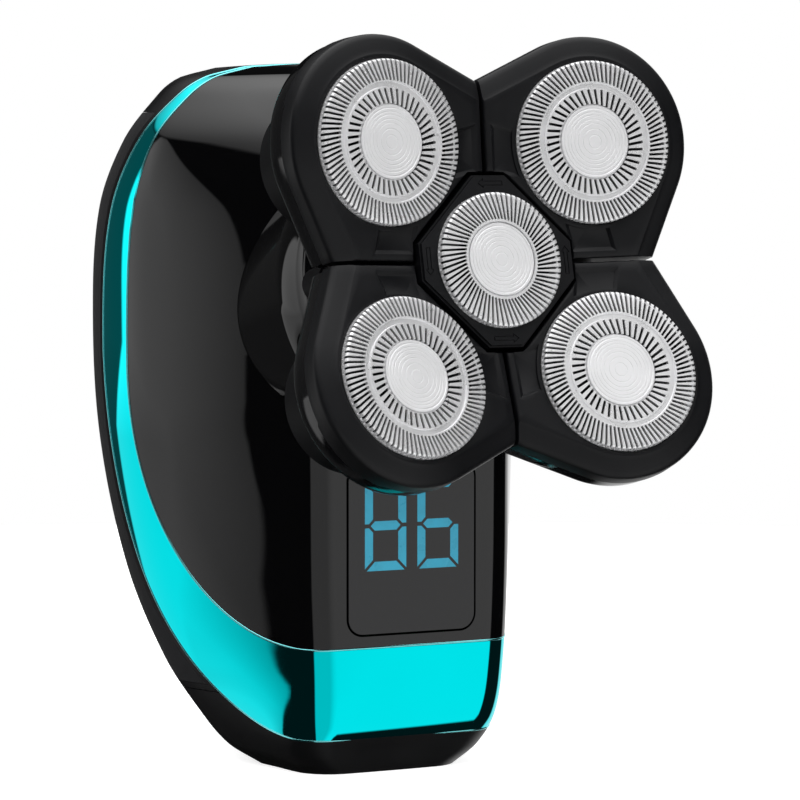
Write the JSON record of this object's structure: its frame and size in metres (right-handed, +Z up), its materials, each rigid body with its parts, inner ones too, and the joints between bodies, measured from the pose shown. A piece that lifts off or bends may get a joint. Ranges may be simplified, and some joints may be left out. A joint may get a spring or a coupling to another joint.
{
  "type": "rotary electric shaver",
  "caption": "Handheld rotary shaver with a mouse-shaped grip, a display press panel and a pull-off head of floating cutter pods round a centre cutter.",
  "frame": {"origin": "on the flat foot under the grip, in its middle plane, 18.5 mm behind the front face", "axes": "+Z up along the grip, -Y towards the display and the head, +X to the right of someone who looks at the display"},
  "size_m": [0.0686, 0.093, 0.1113],
  "materials": {
    "gloss_black": "piano black gloss",
    "satin_black": "satin",
    "trim_cyan": "coloured electroplate, mirror bright",
    "soft_grip": "matt soft touch",
    "panel_gloss": "smoked gloss",
    "digit_light": "smooth, lit blue",
    "light_guide": "moulded",
    "part_black": "moulded",
    "board_green": "solder mask",
    "socket_steel": "plated",
    "cell_sleeve": "shrink sleeve",
    "mount_steel": "stamped",
    "motor_steel": "zinc plated",
    "shaft_steel": "ground",
    "gear_plastic": "natural acetal",
    "pod_matt": "fine spark-eroded matt",
    "cap_steel": "polished stainless",
    "disc_silver": "satin silver",
    "cutter_steel": "ground",
    "screw_steel": "zinc plated"
  },
  "bodies": {
    "handle": {"front_shell": "gloss_black", "trim_band": "trim_cyan", "rear_shell": "satin_black", "grip_pad": "soft_grip", "base_cap": "satin_black", "neck_collar": "gloss_black", "neck_ring": "satin_black", "case_screws": "screw_steel", "display_module": "light_guide", "power_switch": "part_black", "circuit_board": "board_green", "charging_socket": "socket_steel", "cell_holder": "part_black", "cell": "cell_sleeve", "motor_mount": "mount_steel", "motor": "motor_steel"},
    "panel": {"power_panel": "panel_gloss", "display_digits": "digit_light"},
    "rotor": {"motor_shaft": "shaft_steel", "drive_coupler": "gear_plastic"},
    "head": {"gear_case": "satin_black", "gear_cover": "satin_black", "head_screws": "screw_steel", "pod_pins": "shaft_steel", "centre_frame": "pod_matt", "centre_retainer": "part_black", "centre_cap": "cap_steel", "centre_disc": "disc_silver"},
    "sun": {"sun_gear": "gear_plastic", "centre_cutter": "cutter_steel"},
    "pod_ur": {"pod_frame_ur": "pod_matt", "pod_cup_ur": "gloss_black", "pod_cap_ur": "cap_steel", "pod_disc_ur": "disc_silver"},
    "cutter_ur": {"pod_cutter_ur": "cutter_steel"},
    "drive_ur": {"pod_gear_ur": "gear_plastic"},
    "pod_ul": {"pod_frame_ul": "pod_matt", "pod_cup_ul": "gloss_black", "pod_cap_ul": "cap_steel", "pod_disc_ul": "disc_silver"},
    "cutter_ul": {"pod_cutter_ul": "cutter_steel"},
    "drive_ul": {"pod_gear_ul": "gear_plastic"},
    "pod_ll": {"pod_frame_ll": "pod_matt", "pod_cup_ll": "gloss_black", "pod_cap_ll": "cap_steel", "pod_disc_ll": "disc_silver"},
    "cutter_ll": {"pod_cutter_ll": "cutter_steel"},
    "drive_ll": {"pod_gear_ll": "gear_plastic"},
    "pod_lr": {"pod_frame_lr": "pod_matt", "pod_cup_lr": "gloss_black", "pod_cap_lr": "cap_steel", "pod_disc_lr": "disc_silver"},
    "cutter_lr": {"pod_cutter_lr": "cutter_steel"},
    "drive_lr": {"pod_gear_lr": "gear_plastic"}
  },
  "joints": [
    {"name": "panel_press", "type": "slide", "parent": "handle", "child": "panel", "axis": [0, 1, 0], "range_m": [0, 0.0005], "stiffness_N_per_m": 800, "springref_m": -0.001},
    {"name": "head_release", "type": "slide", "parent": "handle", "child": "head", "axis": [0, -0.9755, 0.2198], "range_m": [0, 0.006]},
    {"name": "motor_spin", "type": "hinge", "parent": "handle", "child": "rotor", "pos_m": [0, -0.01623, 0.0724], "axis": [0, -0.9755, 0.2198], "continuous": true},
    {"name": "sun_spin", "type": "hinge", "parent": "head", "child": "sun", "pos_m": [0, -0.02989, 0.07548], "axis": [0, -0.9755, 0.2198], "continuous": true},
    {"name": "gear_spin_ur", "type": "hinge", "parent": "head", "child": "drive_ur", "pos_m": [0.01768, -0.02601, 0.09273], "axis": [0, -0.9755, 0.2198], "continuous": true},
    {"name": "pod_tilt_ur", "type": "hinge", "parent": "head", "child": "pod_ur", "pos_m": [0.01214, -0.03171, 0.08834], "axis": [-0.7071, 0.1555, 0.6898], "range_deg": [0, 6], "stiffness_Nm_per_rad": 0.12, "springref_deg": -6.88},
    {"name": "cutter_spin_ur", "type": "hinge", "parent": "pod_ur", "child": "cutter_ur", "pos_m": [0.01697, -0.04333, 0.09591], "axis": [-0.124, -0.9877, 0.0955], "continuous": true},
    {"name": "gear_spin_ul", "type": "hinge", "parent": "head", "child": "drive_ul", "pos_m": [-0.01768, -0.02601, 0.09273], "axis": [0, -0.9755, 0.2198], "continuous": true},
    {"name": "pod_tilt_ul", "type": "hinge", "parent": "head", "child": "pod_ul", "pos_m": [-0.01214, -0.03171, 0.08834], "axis": [-0.7071, -0.1555, -0.6898], "range_deg": [0, 6], "stiffness_Nm_per_rad": 0.12, "springref_deg": -6.88},
    {"name": "cutter_spin_ul", "type": "hinge", "parent": "pod_ul", "child": "cutter_ul", "pos_m": [-0.01697, -0.04333, 0.09591], "axis": [0.124, -0.9877, 0.0955], "continuous": true},
    {"name": "gear_spin_ll", "type": "hinge", "parent": "head", "child": "drive_ll", "pos_m": [-0.01768, -0.03378, 0.05824], "axis": [0, -0.9755, 0.2198], "continuous": true},
    {"name": "pod_tilt_ll", "type": "hinge", "parent": "head", "child": "pod_ll", "pos_m": [-0.01214, -0.03705, 0.06465], "axis": [0.7071, -0.1555, -0.6898], "range_deg": [0, 6], "stiffness_Nm_per_rad": 0.12, "springref_deg": -6.88},
    {"name": "cutter_spin_ll", "type": "hinge", "parent": "pod_ll", "child": "cutter_ll", "pos_m": [-0.01697, -0.05079, 0.0628], "axis": [0.124, -0.9332, 0.3374], "continuous": true},
    {"name": "gear_spin_lr", "type": "hinge", "parent": "head", "child": "drive_lr", "pos_m": [0.01768, -0.03378, 0.05824], "axis": [0, -0.9755, 0.2198], "continuous": true},
    {"name": "pod_tilt_lr", "type": "hinge", "parent": "head", "child": "pod_lr", "pos_m": [0.01214, -0.03705, 0.06465], "axis": [0.7071, 0.1555, 0.6898], "range_deg": [0, 6], "stiffness_Nm_per_rad": 0.12, "springref_deg": -6.88},
    {"name": "cutter_spin_lr", "type": "hinge", "parent": "pod_lr", "child": "cutter_lr", "pos_m": [0.01697, -0.05079, 0.0628], "axis": [-0.124, -0.9332, 0.3374], "continuous": true}
  ],
  "couplings": [
    {"joint": "motor_spin", "follows": "sun_spin", "ratio": 1},
    {"joint": "gear_spin_ur", "follows": "sun_spin", "ratio": -2.125},
    {"joint": "cutter_spin_ur", "follows": "sun_spin", "ratio": -2.125},
    {"joint": "gear_spin_ul", "follows": "sun_spin", "ratio": -2.125},
    {"joint": "cutter_spin_ul", "follows": "sun_spin", "ratio": -2.125},
    {"joint": "gear_spin_ll", "follows": "sun_spin", "ratio": -2.125},
    {"joint": "cutter_spin_ll", "follows": "sun_spin", "ratio": -2.125},
    {"joint": "gear_spin_lr", "follows": "sun_spin", "ratio": -2.125},
    {"joint": "cutter_spin_lr", "follows": "sun_spin", "ratio": -2.125}
  ]
}
